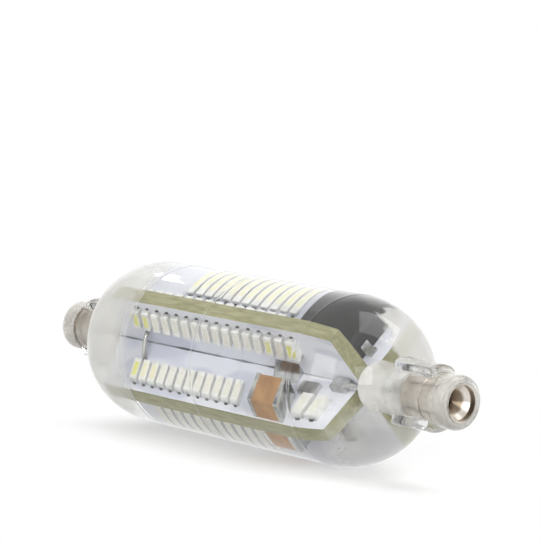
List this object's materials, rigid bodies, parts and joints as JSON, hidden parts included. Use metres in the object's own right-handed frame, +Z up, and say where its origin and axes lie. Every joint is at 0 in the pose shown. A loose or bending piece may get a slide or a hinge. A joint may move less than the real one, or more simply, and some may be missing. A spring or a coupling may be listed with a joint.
{
  "type": "linear led bulb",
  "caption": "Double-ended linear LED bulb: crossed circuit boards carrying rows of LEDs, potted in a clear silicone body with domed ends, winged necks and recessed metal end contacts.",
  "frame": {"origin": "midway between the two tips, on the bulb's axis", "axes": "+X along the bulb towards the end with the rectifier, +Z up, with the neck's wings in the XZ plane"},
  "size_m": [0.0782, 0.022, 0.022],
  "materials": {
    "clear_silicone": "clear, soft and glossy moulded silicone",
    "milky_silicone": "milky white moulded silicone, slightly glossy",
    "circuit_board": "white solder mask on glass-fibre board, olive at the cut edges",
    "led_white": "white moulded LED frames",
    "led_phosphor": "pale yellow phosphor gel",
    "tinned_metal": "bright tin",
    "solder": "solder, bright and slightly uneven",
    "nickel": "nickel plated, turned",
    "tan_ceramic": "tan capacitor ceramic",
    "black_epoxy": "black moulded epoxy"
  },
  "bodies": {
    "root": {"silicone_body": "clear_silicone", "board_a": "circuit_board", "board_b": "circuit_board", "rectifier_body": "black_epoxy", "rectifier_leads": "tinned_metal", "capacitor_front": "tan_ceramic", "capacitor_under": "tan_ceramic", "capacitor_front_caps": "tinned_metal", "capacitor_under_caps": "tinned_metal", "chip_resistors": "black_epoxy", "chip_resistor_caps": "tinned_metal", "contact_right": "nickel", "contact_left": "nickel", "contact_bush_right": "milky_silicone", "contact_bush_left": "milky_silicone", "lead_wire_right": "tinned_metal", "lead_wire_left": "tinned_metal", "lead_solder_right": "solder", "lead_solder_left": "solder", "jumper_front": "tinned_metal", "jumper_back": "tinned_metal", "solder_bridges": "solder", "led_frames_front_upper": "led_white", "led_windows_front_upper": "led_phosphor", "led_terminals_front_upper": "tinned_metal", "led_frames_front_lower": "led_white", "led_windows_front_lower": "led_phosphor", "led_terminals_front_lower": "tinned_metal", "led_frames_top_front": "led_white", "led_windows_top_front": "led_phosphor", "led_terminals_top_front": "tinned_metal", "led_frames_top_back": "led_white", "led_windows_top_back": "led_phosphor", "led_terminals_top_back": "tinned_metal", "led_frames_back_upper": "led_white", "led_windows_back_upper": "led_phosphor", "led_terminals_back_upper": "tinned_metal", "led_frames_back_lower": "led_white", "led_windows_back_lower": "led_phosphor", "led_terminals_back_lower": "tinned_metal", "led_frames_bottom_back": "led_white", "led_windows_bottom_back": "led_phosphor", "led_terminals_bottom_back": "tinned_metal", "led_frames_bottom_front": "led_white", "led_windows_bottom_front": "led_phosphor", "led_terminals_bottom_front": "tinned_metal"}
  },
  "joints": []
}
